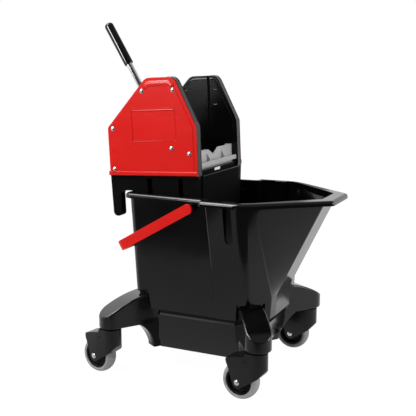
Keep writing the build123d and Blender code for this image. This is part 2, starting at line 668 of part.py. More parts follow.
SECTOR_START = 136.0
SECTOR_END = 217.0
SECTOR_HUB = 13.0


def make_sector():
    """Press arm: hub through the cheek, and a toothed sector that the pinion drives."""
    pitch = SECTOR_TEETH * MODULE / 2
    root = pitch - DEDENDUM
    reach = 2 * pitch
    wedge = [(0, 0)]
    for angle in (SECTOR_START, (SECTOR_START + SECTOR_END) / 2, SECTOR_END):
        wedge.append((reach * math.cos(math.radians(angle)), reach * math.sin(math.radians(angle))))
    face = Circle(root) & make_face(Polyline(*wedge, close=True))
    tooth = involute_tooth(SECTOR_TEETH, pitch + ADDENDUM, root, BACKLASH)
    step = 360 / SECTOR_TEETH
    for i in range(-2, 4):
        face += Rot(0, 0, GEAR_LINE_ANGLE + step * (i + 0.5)) * tooth
    face += Circle(SECTOR_HUB)
    arm = prism(face, GEAR_FRONT_Y, GEAR_BACK_Y)
    arm += pin_y(0, 0, PRESS_HUB_RADIUS, GEAR_BACK_Y, -CHEEK_INNER + 0.4)
    arm += press_key(0, 0)
    arm -= pin_y(0, 0, PRESS_PIN_RADIUS + RUN, -120, -CHEEK_INNER)
    return Pos(PRESS_U, 0, PRESS_W) * arm


BLADE_FRONT_Y = -103.75
BLADE_BACK_Y = -98.75
BLADE_LENGTH = 104.0
TUBE_START = 74.0


def lever_place(part):
    """Carry a part drawn along +Z from the lever axis to the lever's rest lean."""
    return Location((LEVER_U, 0, LEVER_W), (0, -LEVER_LEAN, 0)) * part


def make_blade():
    outline = [(-5, 0), (5, 0), (6, 40), (4.1, TUBE_START - 1), (4.1, BLADE_LENGTH),
               (-4.1, BLADE_LENGTH), (-4.1, TUBE_START - 1), (-6, 40)]
    plate = slab(outline, BLADE_FRONT_Y, BLADE_BACK_Y)
    plate += pin_y(0, 0, 16.0, BLADE_FRONT_Y, BLADE_BACK_Y)
    plate -= block(-DRIVE_HALF, DRIVE_HALF, BLADE_FRONT_Y - 1, BLADE_BACK_Y + 1, -DRIVE_HALF, DRIVE_HALF)
    return lever_place(plate)


def make_tube():
    top = LEVER_LENGTH - 6
    tube = post(0, LEVER_TUBE_Y, LEVER_TUBE_RADIUS, TUBE_START, top)
    tube -= post(0, LEVER_TUBE_Y, LEVER_TUBE_RADIUS - 1.5, TUBE_START - 1, top - 3)
    return lever_place(tube)


def make_grip():
    low = LEVER_LENGTH - GRIP_LENGTH
    sleeve = post(0, LEVER_TUBE_Y, GRIP_RADIUS, low, LEVER_LENGTH)
    sleeve = fillet(sleeve.edges().sort_by(Axis.Z)[-1], GRIP_DOME)
    sleeve = chamfer(sleeve.edges().sort_by(Axis.Z)[0], 1.0)
    sleeve -= post(0, LEVER_TUBE_Y, LEVER_TUBE_RADIUS + RUN, low - 1, LEVER_LENGTH - 6)
    return lever_place(sleeve)


SPACER_RADIUS = 6.6
SPRING_TURNS = 2.5
SPRING_STEPS = 18
SPRING_START = 7.4
SPRING_PITCH = 2.4
SPRING_STRIP = 1.2


def make_lever_axle():
    """Stepped axle: shoulder inside the cheek, neck through the cover, domed head outside."""
    shoulder = -COVER_INNER + 0.2
    axle = pin_y(LEVER_U, LEVER_W, LEVER_AXLE_RADIUS, shoulder, -CHEEK_INNER)
    axle += pin_y(LEVER_U, LEVER_W, AXLE_NECK_RADIUS, -COVER_OUTER, shoulder)
    return axle + dome_head(LEVER_U, LEVER_W, -COVER_OUTER, -1, SCREW_HEAD_RADIUS, SCREW_HEAD_RISE)


def make_lever_spacer():
    ring = pin_y(LEVER_U, LEVER_W, SPACER_RADIUS, -COVER_INNER + 0.2, BLADE_FRONT_Y - 0.2)
    return ring - pin_y(LEVER_U, LEVER_W, LEVER_AXLE_RADIUS + HOLE_SLACK, -120, -80)


def make_return_spring():
    """Flat spiral spring wound round the spacer, between the lever's blade and the cover."""
    count = int(SPRING_TURNS * SPRING_STEPS)
    rims = ([], [])
    for i in range(count + 1):
        angle = math.tau * i / SPRING_STEPS
        middle = SPRING_START + SPRING_PITCH * i / SPRING_STEPS
        for rim, offset in zip(rims, (-SPRING_STRIP / 2, SPRING_STRIP / 2)):
            rim.append(((middle + offset) * math.cos(angle), (middle + offset) * math.sin(angle)))
    strip = make_face(Polyline(*rims[0], *reversed(rims[1]), close=True))
    return Pos(LEVER_U, 0, LEVER_W) * prism(strip, -COVER_INNER + 0.5, BLADE_FRONT_Y - 0.4)


def make_press_pin(side):
    """Headed pivot pin: the right one carries the sector's hub, the left one the plate's far end."""
    inner = -CHEEK_INNER - 1 if side < 0 else PRESS_HALF - PRESS_SOCKET + 0.5
    pin = pin_y(PRESS_U, PRESS_W, PRESS_PIN_RADIUS, *sorted((side * COVER_OUTER, inner)))
    return pin + dome_head(PRESS_U, PRESS_W, side * COVER_OUTER, side, SCREW_HEAD_RADIUS, SCREW_HEAD_RISE)


def press_key(u, w):
    """Drive key on the sector's hub, seated in a slot in the plate's right-hand end."""
    return block(u - 5.5, u + 2.5, -CHEEK_INNER + 0.4, KEY_END, w - 5.5, w + 1.5)


def make_press_plate():
    """Pressing jaw: notched upright, lipped flange with gussets in front, ribbed face behind."""
    wall = block(PRESS_BACK, PRESS_FRONT, -PRESS_HALF, PRESS_HALF, PRESS_BOTTOM, PRESS_TOP)
    notch = rounded_face(
        [(-34, PRESS_TOP + 2), (-6, PRESS_NOTCH), (6, PRESS_NOTCH), (34, PRESS_TOP + 2)], {1: 8, 2: 8}
    )
    wall -= extrude(Plane.YZ * notch, amount=60, both=True)
    wall += block(PRESS_FRONT, FLANGE_FRONT, -PRESS_HALF, PRESS_HALF, FLANGE_TOP - 4, FLANGE_TOP)
    wall += block(FLANGE_FRONT - 3, FLANGE_FRONT, -PRESS_HALF, PRESS_HALF, LIP_BOTTOM, FLANGE_TOP)
    for y in (-GUSSET_Y, GUSSET_Y):
        gusset = [(PRESS_FRONT, 38), (PRESS_FRONT, FLANGE_TOP), (FLANGE_FRONT - 1, FLANGE_TOP)]
        wall += slab(gusset, y - 2, y + 2)
    for i in range(SCRUB_RIBS):
        y = (i - (SCRUB_RIBS - 1) / 2) * SCRUB_PITCH
        wall += block(PRESS_BACK - 4, PRESS_BACK, y - 2.5, y + 2.5, PRESS_BOTTOM + 6, 16)
    for side in (-1, 1):
        ear = block(PRESS_BACK - 4, PRESS_FRONT, *sorted((side * EAR_START, side * PRESS_HALF)), 30, EAR_TOP)
        wall += ear
    wall -= press_key(PRESS_U, PRESS_W)
    wall -= pin_y(PRESS_U, PRESS_W, PRESS_PIN_RADIUS + RUN, PRESS_HALF - PRESS_SOCKET, PRESS_HALF + 1)
    return wall


def build():
    parts = {}
    bucket, bucket_outer = make_bucket()
    parts["bucket"] = bucket
    hands = {-1: "right", 1: "left"}
    for end, side in ARM_CORNERS:
        parts[f"castor_arm_{end}_{hands[side]}"] = make_bracket(end, side, bucket_outer)
    parts["castor_arm_screws"] = make_bracket_screws()
    makers = {"fork": make_fork, "stem": make_stem, "axle": make_axle, "hub": make_hub, "tyre": make_tyre}
    for kind, maker in makers.items():
        piece = maker()
        for end, side in ARM_CORNERS:
            parts[f"castor_{kind}_{end}_{hands[side]}"] = castor_place(end, hands[side]) * piece
    parts["bail_handle"] = make_bail()
    parts["bail_pins"] = make_bail_pins()
    wringer = {
        "wringer_frame": make_wringer_frame(),
        "side_cover_right": make_cover(-1),
        "side_cover_left": make_cover(1),
        "cover_screws_right": make_cover_screws(-1),
        "cover_screws_left": make_cover_screws(1),
        "lever_axle": make_lever_axle(),
        "lever_spacer": make_lever_spacer(),
        "lever_return_spring": make_return_spring(),
        "lever_pinion": make_pinion(),
        "lever_blade": make_blade(),
        "lever_tube": make_tube(),
        "lever_grip": make_grip(),
        "press_plate": make_press_plate(),
        "press_sector": make_sector(),
        "press_pin_right": make_press_pin(-1),
        "press_pin_left": make_press_pin(1),
    }
    for name, piece in wringer.items():
        parts[name] = WRINGER_PLACE * piece
    return parts


os.makedirs("parts", exist_ok=True)
for node, shape in build().items():
    export_step(shape, f"parts/{node}.step")
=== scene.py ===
"""Looks of a wheeled mop bucket with a side-press wringer, dressed over its CAD frame."""

import json
import math

import bpy
from mathutils import Matrix, Vector

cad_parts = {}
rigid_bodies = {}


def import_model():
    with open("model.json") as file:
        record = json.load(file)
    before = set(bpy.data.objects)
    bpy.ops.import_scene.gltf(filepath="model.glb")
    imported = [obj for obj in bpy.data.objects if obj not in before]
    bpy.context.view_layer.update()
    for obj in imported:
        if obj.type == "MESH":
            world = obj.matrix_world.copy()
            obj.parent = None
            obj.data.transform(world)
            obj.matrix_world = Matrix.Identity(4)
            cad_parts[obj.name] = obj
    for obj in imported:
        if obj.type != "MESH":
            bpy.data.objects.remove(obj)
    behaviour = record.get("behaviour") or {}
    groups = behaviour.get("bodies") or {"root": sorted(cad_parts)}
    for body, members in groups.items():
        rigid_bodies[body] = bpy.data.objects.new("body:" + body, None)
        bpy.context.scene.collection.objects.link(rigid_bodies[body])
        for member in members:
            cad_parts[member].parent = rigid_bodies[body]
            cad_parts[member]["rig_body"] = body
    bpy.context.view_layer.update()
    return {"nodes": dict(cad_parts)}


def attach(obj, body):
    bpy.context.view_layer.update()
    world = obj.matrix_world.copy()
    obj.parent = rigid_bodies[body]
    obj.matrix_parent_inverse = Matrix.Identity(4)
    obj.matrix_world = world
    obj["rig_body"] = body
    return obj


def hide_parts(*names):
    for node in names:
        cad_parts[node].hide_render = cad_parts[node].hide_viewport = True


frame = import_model()

# Sizes shared with the solids, in metres
MM = 0.001
WHEEL_RADIUS = 0.0375
CASTOR_TRAIL = 0.0355
AXLE_REACH = 0.020
CASTORS = {
    "front_right": (0.143, -0.154, -6.0),
    "front_left": (0.143, 0.154, -3.0),
    "rear_right": (-0.181, -0.154, -11.0),
    "rear_left": (-0.181, 0.154, -4.0),
}
WRINGER_AT = (-0.004, 0, 0.4216)
WRINGER_TILT = math.radians(2.6)
WRINGER_PLACE = Matrix.Translation(WRINGER_AT) @ Matrix.Rotation(-WRINGER_TILT, 4, "Y")
COVER_FACE = 0.111
SIDES = ((-1, "right"), (1, "left"))


# Shader values as Python expressions
class Value:
    """A shader socket whose operators add Math nodes."""

    def __init__(self, finish, socket):
        self.finish = finish
        self.socket = socket

    def maths(self, operation, *values):
        return self.finish.node("ShaderNodeMath", {"operation": operation}, dict(enumerate(values)))

    def __add__(self, other):
        return self.maths("ADD", self, other)

    def __radd__(self, other):
        return self.maths("ADD", other, self)

    def __sub__(self, other):
        return self.maths("SUBTRACT", self, other)

    def __rsub__(self, other):
        return self.maths("SUBTRACT", other, self)

    def __mul__(self, other):
        return self.maths("MULTIPLY", self, other)

    def __rmul__(self, other):
        return self.maths("MULTIPLY", other, self)

    def larger(self, other):
        return self.maths("MAXIMUM", self, other)

    def size(self):
        return self.maths("ABSOLUTE", self)

    def clipped(self, low, high):
        """0 below low, 1 above high, smooth between."""
        return self.finish.node(
            "ShaderNodeMapRange",
            {"interpolation_type": "SMOOTHSTEP"},
            {"Value": self, "From Min": low, "From Max": high},
        )

    def between(self, low, high, soft):
        """1 from low to high and 0 outside, with soft ends."""
        return self.clipped(low - soft, low + soft) * (1 - self.clipped(high - soft, high + soft))


class Nodes:
    """A node tree, with one method that adds any node to it."""

    def __init__(self, tree):
        self.tree = tree

    def node(self, kind, settings, inputs, output=0):
        made = self.tree.nodes.new(kind)
        for key, value in settings.items():
            setattr(made, key, value)
        for key, value in inputs.items():
            if isinstance(value, Value):
                self.tree.links.new(value.socket, made.inputs[key])
            else:
                made.inputs[key].default_value = value
        return Value(self, made.outputs[output])

    def ray(self, kind):
        return self.node("ShaderNodeLightPath", {}, {}, "Is " + kind + " Ray")

    def white_rays(self):
        """1 for rays that see the background as the photograph shows it."""
        glossy = self.ray("Glossy")
        through = self.ray("Transmission")
        return self.ray("Camera").larger(glossy).larger(through)


class Finish(Nodes):
    """One procedural material, read in Object coordinates."""

    def __init__(self, name, roughness=0.5, metallic=0.0, specular=0.5):
        self.material = bpy.data.materials.new(name)
        self.material.use_nodes = True
        super().__init__(self.material.node_tree)
        self.shader = self.tree.nodes["Principled BSDF"]
        self.shader.inputs["Roughness"].default_value = roughness
        self.shader.inputs["Metallic"].default_value = metallic
        self.shader.inputs["Specular IOR Level"].default_value = specular
        self.place = self.node("ShaderNodeTexCoord", {}, {}, "Object")

    def axis(self, name):
        return self.node("ShaderNodeSeparateXYZ", {}, {0: self.place}, name)

    def stretched(self, scale):
        return self.node("ShaderNodeMapping", {}, {"Vector": self.place, "Scale": scale})

    def noise(self, scale, detail, where=None):
        return self.node(
            "ShaderNodeTexNoise", {}, {"Vector": where or self.place, "Scale": scale, "Detail": detail}
        )

    def mix(self, mask, low, high):
        """Colour going from low to high with mask."""
        return self.node(
            "ShaderNodeMix", {"data_type": "RGBA"}, {0: mask, 6: low, 7: high}, 2
        )

    def feed(self, socket, value):
        self.tree.links.new(value.socket, self.shader.inputs[socket])

    def colour(self, rgb):
        self.shader.inputs["Base Color"].default_value = (*rgb, 1)

    def painted_shade(self, mask):
        """Paint shade: mix in a near-black matt shader where mask is 1."""
        matt = self.node("ShaderNodeBsdfPrincipled", {}, PAINTED_SHADE_BLACK)
        gloss = Value(self, self.shader.outputs[0])
        both = self.node("ShaderNodeMixShader", {}, {0: mask, 1: gloss, 2: matt})
        self.tree.links.new(both.socket, self.tree.nodes["Material Output"].inputs["Surface"])

    def bump(self, height, distance):
        made = self.node("ShaderNodeBump", {}, {"Height": height, "Distance": distance, "Strength": 1.0})
        self.feed("Normal", made)


def rgba(*rgb):
    return (*rgb, 1)


# Near-black matt shader that paints shade wherever the masks below are 1
PAINTED_SHADE_BLACK = {"Base Color": rgba(0.002, 0.002, 0.002), "Roughness": 0.8, "Specular IOR Level": 0.05}

# Noise scales of moulded plastic, and how far its gloss wanders
CLOUD_SCALE = 14.0
FLOW_SCALE = 9.0
FLOW_STRETCH = (1.0, 1.0, 4.0)
FLOW_RANGE = 0.10
GRAIN_SCALE = 1400.0
SINK_SCALE = 16.0


def moulded_plastic(name, dark, light, roughness, grain, specular=0.3, sink=0.0):
    """Moulded plastic: faint cloudy tone, flow marks in the gloss, fine grain and shallow sink waves."""
    finish = Finish(name, roughness, specular=specular)
    cloud = finish.noise(CLOUD_SCALE, 3.0).clipped(0.35, 0.7)
    finish.feed("Base Color", finish.mix(cloud, rgba(*dark), rgba(*light)))
    flow = finish.noise(FLOW_SCALE, 2.0, finish.stretched(FLOW_STRETCH))
    finish.feed("Roughness", roughness + (flow - 0.5) * FLOW_RANGE)
    grit = finish.noise(GRAIN_SCALE, 2.0) * grain
    finish.bump(grit + finish.noise(SINK_SCALE, 1.0) * sink, 1.0)
    return finish


# Noise scale of brushed metal, how far its gloss wanders and how much darker it goes
BRUSH_SCALE = 120.0
BRUSH_RANGE = 0.12
BRUSH_DARK = 0.86


def bright_metal(name, tone, roughness, stretch):
    """Plated or drawn metal with a fine brushed wander in its gloss."""
    finish = Finish(name, roughness, metallic=1.0)
    brush = finish.noise(BRUSH_SCALE, 3.0, finish.stretched(stretch))
    finish.feed("Roughness", roughness + (brush - 0.5) * BRUSH_RANGE)
    finish.feed("Base Color", finish.mix(brush, rgba(*[t * BRUSH_DARK for t in tone]), rgba(*tone)))
    return finish.material


def tyre_rubber():
    """Grey rubber: dusty mottling and a scuffed running face."""
    finish = Finish("tyre_grey", 0.62, specular=0.35)
    mottle = finish.noise(55.0, 4.0).clipped(0.3, 0.75)
    finish.feed("Base Color", finish.mix(mottle, rgba(0.24, 0.24, 0.245), rgba(0.30, 0.30, 0.305)))
    finish.bump(finish.noise(700.0, 3.0), 0.00012)
    return finish.material


# Dark and light tone of each plastic
MOULDED_BLACK = ((0.0014, 0.0014, 0.0016), (0.0024, 0.0024, 0.0027))
FORK_TONES = ((0.0050, 0.0050, 0.0055), (0.0080, 0.0080, 0.0085))
MOULDED_RED = ((0.54, 0.0075, 0.0055), (0.57, 0.009, 0.0065))
BLANK_WHITE = ((0.86, 0.86, 0.85), (0.90, 0.90, 0.89))
PRESS_TONES = ((0.385, 0.385, 0.39), (0.455, 0.455, 0.46))

# Painted shade: the bucket turns to matt black in the shadow of its neck groove, and for darker
# reflections on its rim's top, apart from the spout's tip
NECK = (0.1255, 0.1383)
NECK_SHADE = 0.6
RIM_TOP = (0.3805, 0.3820)
SPOUT_TIP = (0.190, 0.220)
RIM_SHADE = 0.7
bucket_plastic = moulded_plastic("bucket_black", *MOULDED_BLACK, 0.13, 0.00001, 0.40, 0.0003)
height = bucket_plastic.axis("Z")
neck = height.between(*NECK, 0.0006) * NECK_SHADE
rim_top = height.clipped(*RIM_TOP) * (1 - bucket_plastic.axis("X").clipped(*SPOUT_TIP)) * RIM_SHADE
bucket_plastic.painted_shade(neck.larger(rim_top))
BUCKET_BLACK = bucket_plastic.material

# Painted shade: the rear arms' legs beside the sump, and the tops of the forks in the gap under the arms,
# turn to matt black
LEG_TOP = (0.112, 0.120)
LEG_SPAN = (-0.128, -0.060)
LEG_SHADE = 0.8
FORK_TOP = (0.0990, 0.1000)
arm_plastic = moulded_plastic("arm_black", *MOULDED_BLACK, 0.15, 0.00001, 0.42)
rear_leg = (1 - arm_plastic.axis("Z").clipped(*LEG_TOP)) * arm_plastic.axis("X").between(*LEG_SPAN, 0.005)
arm_plastic.painted_shade(rear_leg * LEG_SHADE)
ARM_BLACK = arm_plastic.material
fork_plastic = moulded_plastic("fork_black", *FORK_TONES, 0.28, 0.00003)
fork_plastic.painted_shade(fork_plastic.axis("Z").clipped(*FORK_TOP))
FORK_BLACK = fork_plastic.material

# Painted shade: the wringer's frame turns to matt black in its basket, in the cheeks' web groove and
# below the covers
BASKET_SIDE = (0.0894, 0.0900)
BASKET_TOP = (0.434, 0.437)
GROOVE_AT = -0.063
GROOVE_EDGE = (0.0027, 0.0033)
GROOVE_SIDE = (0.0930, 0.0940)
GROOVE_FOOT = (0.500, 0.520)
COVER_FOOT = (0.418, 0.421)
COVER_FOOT_SHADE = 0.85
frame_plastic = moulded_plastic("frame_black", *MOULDED_BLACK, 0.22, 0.00001, 0.26)
across = frame_plastic.axis("Y").size()
height = frame_plastic.axis("Z")
level_part = (frame_plastic.axis("X") - WRINGER_AT[0]) * math.cos(WRINGER_TILT)
along = level_part + (height - WRINGER_AT[2]) * math.sin(WRINGER_TILT)
basket = (1 - across.clipped(*BASKET_SIDE)) * (1 - height.clipped(*BASKET_TOP))
groove = (1 - (along - GROOVE_AT).size().clipped(*GROOVE_EDGE)) * (1 - across.clipped(*GROOVE_SIDE))
under_covers = (1 - height.clipped(*COVER_FOOT)) * COVER_FOOT_SHADE
frame_plastic.painted_shade(basket.larger(groove * height.clipped(*GROOVE_FOOT)).larger(under_covers))
FRAME_BLACK = frame_plastic.material

COVER_RED = moulded_plastic("cover_red", *MOULDED_RED, 0.26, 0.00002, 0.16, 0.00004).material
ROLL_RED = moulded_plastic("roll_red", *MOULDED_RED, 0.20, 0.00002, 0.5).material
LABEL_WHITE = moulded_plastic("label_white", *BLANK_WHITE, 0.40, 0.00001).material
PRESS_GREY = moulded_plastic("press_grey", *PRESS_TONES, 0.42, 0.00005).material
HUB_BLACK = moulded_plastic("hub_black", *MOULDED_BLACK, 0.46, 0.00005, 0.12).material
GRIP_BLACK = moulded_plastic("grip_black", *MOULDED_BLACK, 0.10, 0.0, 0.28).material
STEEL = bright_metal("steel", (0.66, 0.66, 0.66), 0.26, (1.0, 1.0, 6.0))
CHROME = bright_metal("chrome", (0.80, 0.80, 0.81), 0.14, (8.0, 8.0, 0.6))
TYRE_GREY = tyre_rubber()


# Modelling helpers, and the angles above which an edge stays sharp
MOULDED_EDGE = math.radians(33)
TURNED_EDGE = math.radians(38)
BEAD_EDGE = math.radians(50)
FLAT = math.radians(0.4)
WELD = 0.000004


def choose(*pieces):
    """Select these pieces alone, with the first one active."""
    bpy.ops.object.select_all(action="DESELECT")
    for piece in pieces:
        piece.select_set(True)
    bpy.context.view_layer.objects.active = pieces[0]


def start_edit(piece):
    choose(piece)
    bpy.ops.object.mode_set(mode="EDIT")
    bpy.ops.mesh.select_all(action="SELECT")


def end_edit():
    bpy.ops.object.mode_set(mode="OBJECT")


def apply_all(piece):
    bpy.context.view_layer.objects.active = piece
    for modifier in list(piece.modifiers):
        bpy.ops.object.modifier_apply(modifier=modifier.name)


def give(piece, material):
    piece.data.materials.clear()
    piece.data.materials.append(material)


def dressed(node, material, edge, trim=None):
    """Welded copy of a node with softened edges, shown in its place and cut off above trim if given."""
    source = frame["nodes"][node]
    piece = bpy.data.objects.new(node + "_moulded", source.data.copy())
    bpy.context.scene.collection.objects.link(piece)
    start_edit(piece)
    bpy.ops.mesh.remove_doubles(threshold=WELD)
    bpy.ops.mesh.dissolve_limited(angle_limit=FLAT)
    if trim:
        level = WRINGER_PLACE @ Vector((0, 0, trim))
        upwards = WRINGER_PLACE.to_3x3() @ Vector((0, 0, 1))
        bpy.ops.mesh.select_all(action="SELECT")
        bpy.ops.mesh.bisect(plane_co=level, plane_no=upwards, use_fill=True, clear_outer=True)
    end_edit()
    soften = piece.modifiers.new("soften", "BEVEL")
    soften.width = edge
    soften.segments = 2
    soften.limit_method = "ANGLE"
    soften.angle_limit = MOULDED_EDGE
    soften.miter_outer = "MITER_ARC"
    apply_all(piece)
    bpy.ops.object.shade_smooth_by_angle(angle=MOULDED_EDGE)
    even = piece.modifiers.new("even", "WEIGHTED_NORMAL")
    even.keep_sharp = True
    apply_all(piece)
    give(piece, material)
    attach(piece, source["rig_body"])
    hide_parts(node)


def wire(name, path):
    """Chain of edges through (x, y, z) points in millimetres, left in edit mode."""
    points = [Vector(point) * MM for point in path]
    bpy.ops.object.select_all(action="DESELECT")
    bpy.ops.mesh.primitive_plane_add(size=0.001)
    piece = bpy.context.object
    piece.name = name
    bpy.ops.object.mode_set(mode="EDIT")
    bpy.ops.mesh.select_all(action="SELECT")
    bpy.ops.mesh.merge(type="CENTER")
    bpy.ops.transform.translate(value=points[0])
    for here, there in zip(points, points[1:]):
        bpy.ops.mesh.extrude_vertices_move(TRANSFORM_OT_translate={"value": there - here})
    bpy.ops.mesh.select_all(action="SELECT")
    return piece


def turned(name, profile, steps=64):
    """Lathe-turned piece about its own Z axis, from (radius, height) points in millimetres."""
    piece = wire(name, [(radius, 0, height) for radius, height in profile])
    bpy.ops.mesh.spin(steps=steps, angle=math.tau, center=(0, 0, 0), axis=(0, 0, 1))
    bpy.ops.mesh.select_all(action="SELECT")
    bpy.ops.mesh.remove_doubles(threshold=WELD / 2)
    bpy.ops.mesh.normals_make_consistent(inside=False)
    end_edit()
    bpy.ops.object.shade_smooth_by_angle(angle=TURNED_EDGE)
    return piece


def bead(name, path, radius, smooth=3):
    """Bead along a path, with closed ends, round or with four flat sides when smooth is 0."""
    piece = wire(name, path)
    end_edit()
    bpy.ops.object.convert(target="CURVE")
    piece = bpy.context.object
    piece.data.bevel_depth = radius * MM
    piece.data.bevel_resolution = smooth
    piece.data.use_fill_caps = True
    bpy.ops.object.convert(target="MESH")
    piece = bpy.context.object
    start_edit(piece)
    bpy.ops.mesh.normals_make_consistent(inside=False)
    end_edit()
    bpy.ops.object.shade_smooth_by_angle(angle=BEAD_EDGE)
    return piece


def rounded(path, radius):
    """The path with its inner corners eased by a parabola that starts radius before each."""
    points = [Vector(point) for point in path]
    eased = [points[0]]
    for before, here, after in zip(points, points[1:], points[2:]):
        start = here + (before - here).normalized() * radius
        end = here + (after - here).normalized() * radius
        for i in range(7):
            share = i / 6
            eased.append(start.lerp(here, share).lerp(here.lerp(end, share), share))
    return eased + [points[-1]]


def settled(piece, place):
    """Move a piece to its place and fold the move into its mesh."""
    piece.matrix_world = place
    choose(piece)
    bpy.ops.object.transform_apply(location=True, rotation=True, scale=True)
    return piece


def twin(piece, name):
    """Another of the same piece, with a mesh of its own."""
    other = bpy.data.objects.new(name, piece.data.copy())
    bpy.context.scene.collection.objects.link(other)
    return other


def joined(pieces, name):
    choose(*pieces)
    bpy.ops.object.join()
    pieces[0].name = name
    return pieces[0]


def shown(piece, node, material):
    """Finish a new piece that stands for a node."""
    give(piece, material)
    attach(piece, frame["nodes"][node]["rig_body"])
    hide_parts(node)


def arc(centre, radius, start, end, count):
    """Points of a round in a profile, angles in degrees from +radius towards +height."""
    points = []
    for i in range(count + 1):
        angle = math.radians(start + (end - start) * i / count)
        points.append((centre[0] + radius * math.cos(angle), centre[1] + radius * math.sin(angle)))
    return points


# The solids that keep their shape
PRESS_TRIM = 0.046
SOFT_EDGES = {
    "bucket": (BUCKET_BLACK, 0.0008),
    "wringer_frame": (FRAME_BLACK, 0.0006),
    "side_cover_right": (COVER_RED, 0.0005),
    "side_cover_left": (COVER_RED, 0.0005),
    "bail_handle": (COVER_RED, 0.0012),
    "press_plate": (PRESS_GREY, 0.0004, PRESS_TRIM),
}
for corner in CASTORS:
    SOFT_EDGES["castor_arm_" + corner] = (ARM_BLACK, 0.0005)
    SOFT_EDGES["castor_fork_" + corner] = (FORK_BLACK, 0.0010)
for node, choices in SOFT_EDGES.items():
    dressed(node, *choices)

PLAIN = {
    "castor_arm_screws": STEEL,
    "bail_pins": STEEL,
    "lever_spacer": STEEL,
    "lever_return_spring": STEEL,
    "lever_pinion": STEEL,
    "lever_blade": STEEL,
    "press_sector": STEEL,
}
for corner in CASTORS:
    PLAIN["castor_stem_" + corner] = STEEL
for node, material in PLAIN.items():
    give(frame["nodes"][node], material)


# Castor wheels, modelled once on the castor's own axes and copied to each corner
TYRE_PROFILE = (
    [(27.5, -12.0), (27.9, -13.1), (29.2, -13.9), (30.6, -14.0), (32.2, -13.8)]
    + [(37.5 - 4.6 * abs(t) ** 2.6, 13.3 * t) for t in [i / 8 - 1 for i in range(17)]]
    + [(32.2, 13.8), (30.6, 14.0), (29.2, 13.9), (27.9, 13.1), (27.5, 12.0), (27.5, -12.0)]
)
HUB_HALF = [
    (4.05, 15.4), (8.2, 15.4), (9.0, 14.8), (10.2, 8.0), (11.6, 4.6), (13.0, 4.0), (20.4, 4.0),
    (21.8, 4.8), (23.2, 11.2), (23.8, 12.0), (27.5, 12.0),
]
HUB_PROFILE = HUB_HALF + [(radius, -height) for radius, height in reversed(HUB_HALF)] + HUB_HALF[:1]


def dome(radius, rise):
    """Profile of a round head standing on height 0, from its crown to its edge."""
    ball = (radius**2 + rise**2) / (2 * rise)
    spread = math.degrees(math.asin(radius / ball))
    return arc((0, rise - ball), ball, 90, 90 - spread, 8)


def headed_pin(name, head_radius, rise, shank_radius, length):
    """Pin with a domed head on height 0 and its shank below."""
    profile = dome(head_radius, rise) + [(shank_radius, 0), (shank_radius, -length), (0, -length)]
    return turned(name, profile, 40)


AXLE_PROFILE = [(r, h + AXLE_REACH / MM) for r, h in dome(5.5, 1.8)] + [(4.0, AXLE_REACH / MM)]
AXLE_PROFILE += [(r, -h) for r, h in reversed(AXLE_PROFILE)]
WHEEL_TURN = (
    Matrix.Translation((-CASTOR_TRAIL, 0, WHEEL_RADIUS))
    @ Matrix.Rotation(math.radians(90), 4, "X")
)
wheel_kinds = [
    ("castor_tyre_", turned("tyre", TYRE_PROFILE, 96), TYRE_GREY),
    ("castor_hub_", turned("hub", HUB_PROFILE, 72), HUB_BLACK),
    ("castor_axle_", turned("axle", AXLE_PROFILE, 40), STEEL),
]
for kind, pattern, material in wheel_kinds:
    for corner, (x, y, turn) in CASTORS.items():
        piece = twin(pattern, kind + corner + "_turned")
        stand = Matrix.Translation((x, y, 0)) @ Matrix.Rotation(math.radians(turn), 4, "Z")
        settled(piece, stand @ WHEEL_TURN)
        bpy.ops.object.shade_smooth_by_angle(angle=TURNED_EDGE)
        shown(piece, kind + corner, material)
    bpy.data.objects.remove(pattern)

# Lever and its grip, standing on the lever's axle at (u, w) of the wringer's frame
LEVER_SPOT = (-55.0, 54.5)
LEVER_LEAN = math.radians(28.4)
LEVER_Y = -0.10125
LEVER_PLACE = (
    WRINGER_PLACE
    @ Matrix.Translation((LEVER_SPOT[0] * MM, 0, LEVER_SPOT[1] * MM))
    @ Matrix.Rotation(-LEVER_LEAN, 4, "Y")
    @ Matrix.Translation((0, LEVER_Y, 0))
)
TUBE_PROFILE = [(5.0, 74), (6.2, 74), (6.5, 74.6), (6.5, 276), (0, 276.5)]
GRIP_PROFILE = [(6.5, 191.1), (8.4, 190.5), (8.8, 190.8), (9.1, 191.9), (9.1, 232), (9.1, 276.8)]
GRIP_PROFILE += arc((2.3, 277.0), 6.8, 8, 90, 8) + [(0, 283.8)]
tube = settled(turned("lever_tube_turned", TUBE_PROFILE), LEVER_PLACE)
shown(tube, "lever_tube", CHROME)
grip = settled(turned("lever_grip_turned", GRIP_PROFILE), LEVER_PLACE)
shown(grip, "lever_grip", GRIP_BLACK)

# Domed fasteners of the wringer, in its own frame
HEAD = (4.6, 2.6)
SCREW_SPOTS = [(-115.4, 167.8, 2.5), (-187.4, 94.6, 2.5), (-46.6, 168.0, 16.0), (-188.2, 12.1, 16.0)]
PRESS_PIN_LENGTH = {-1: 19.0, 1: 32.5}
PRESS_SPOT = (-16.5681, 43.4073)


def on_cover(piece, side, u, w):
    """Stand a headed pin on a cover's face, at u and w of the wringer's frame."""
    face = Matrix.Translation((u * MM, side * COVER_FACE, w * MM))
    return settled(piece, WRINGER_PLACE @ face @ Matrix.Rotation(math.radians(-90 * side), 4, "X"))


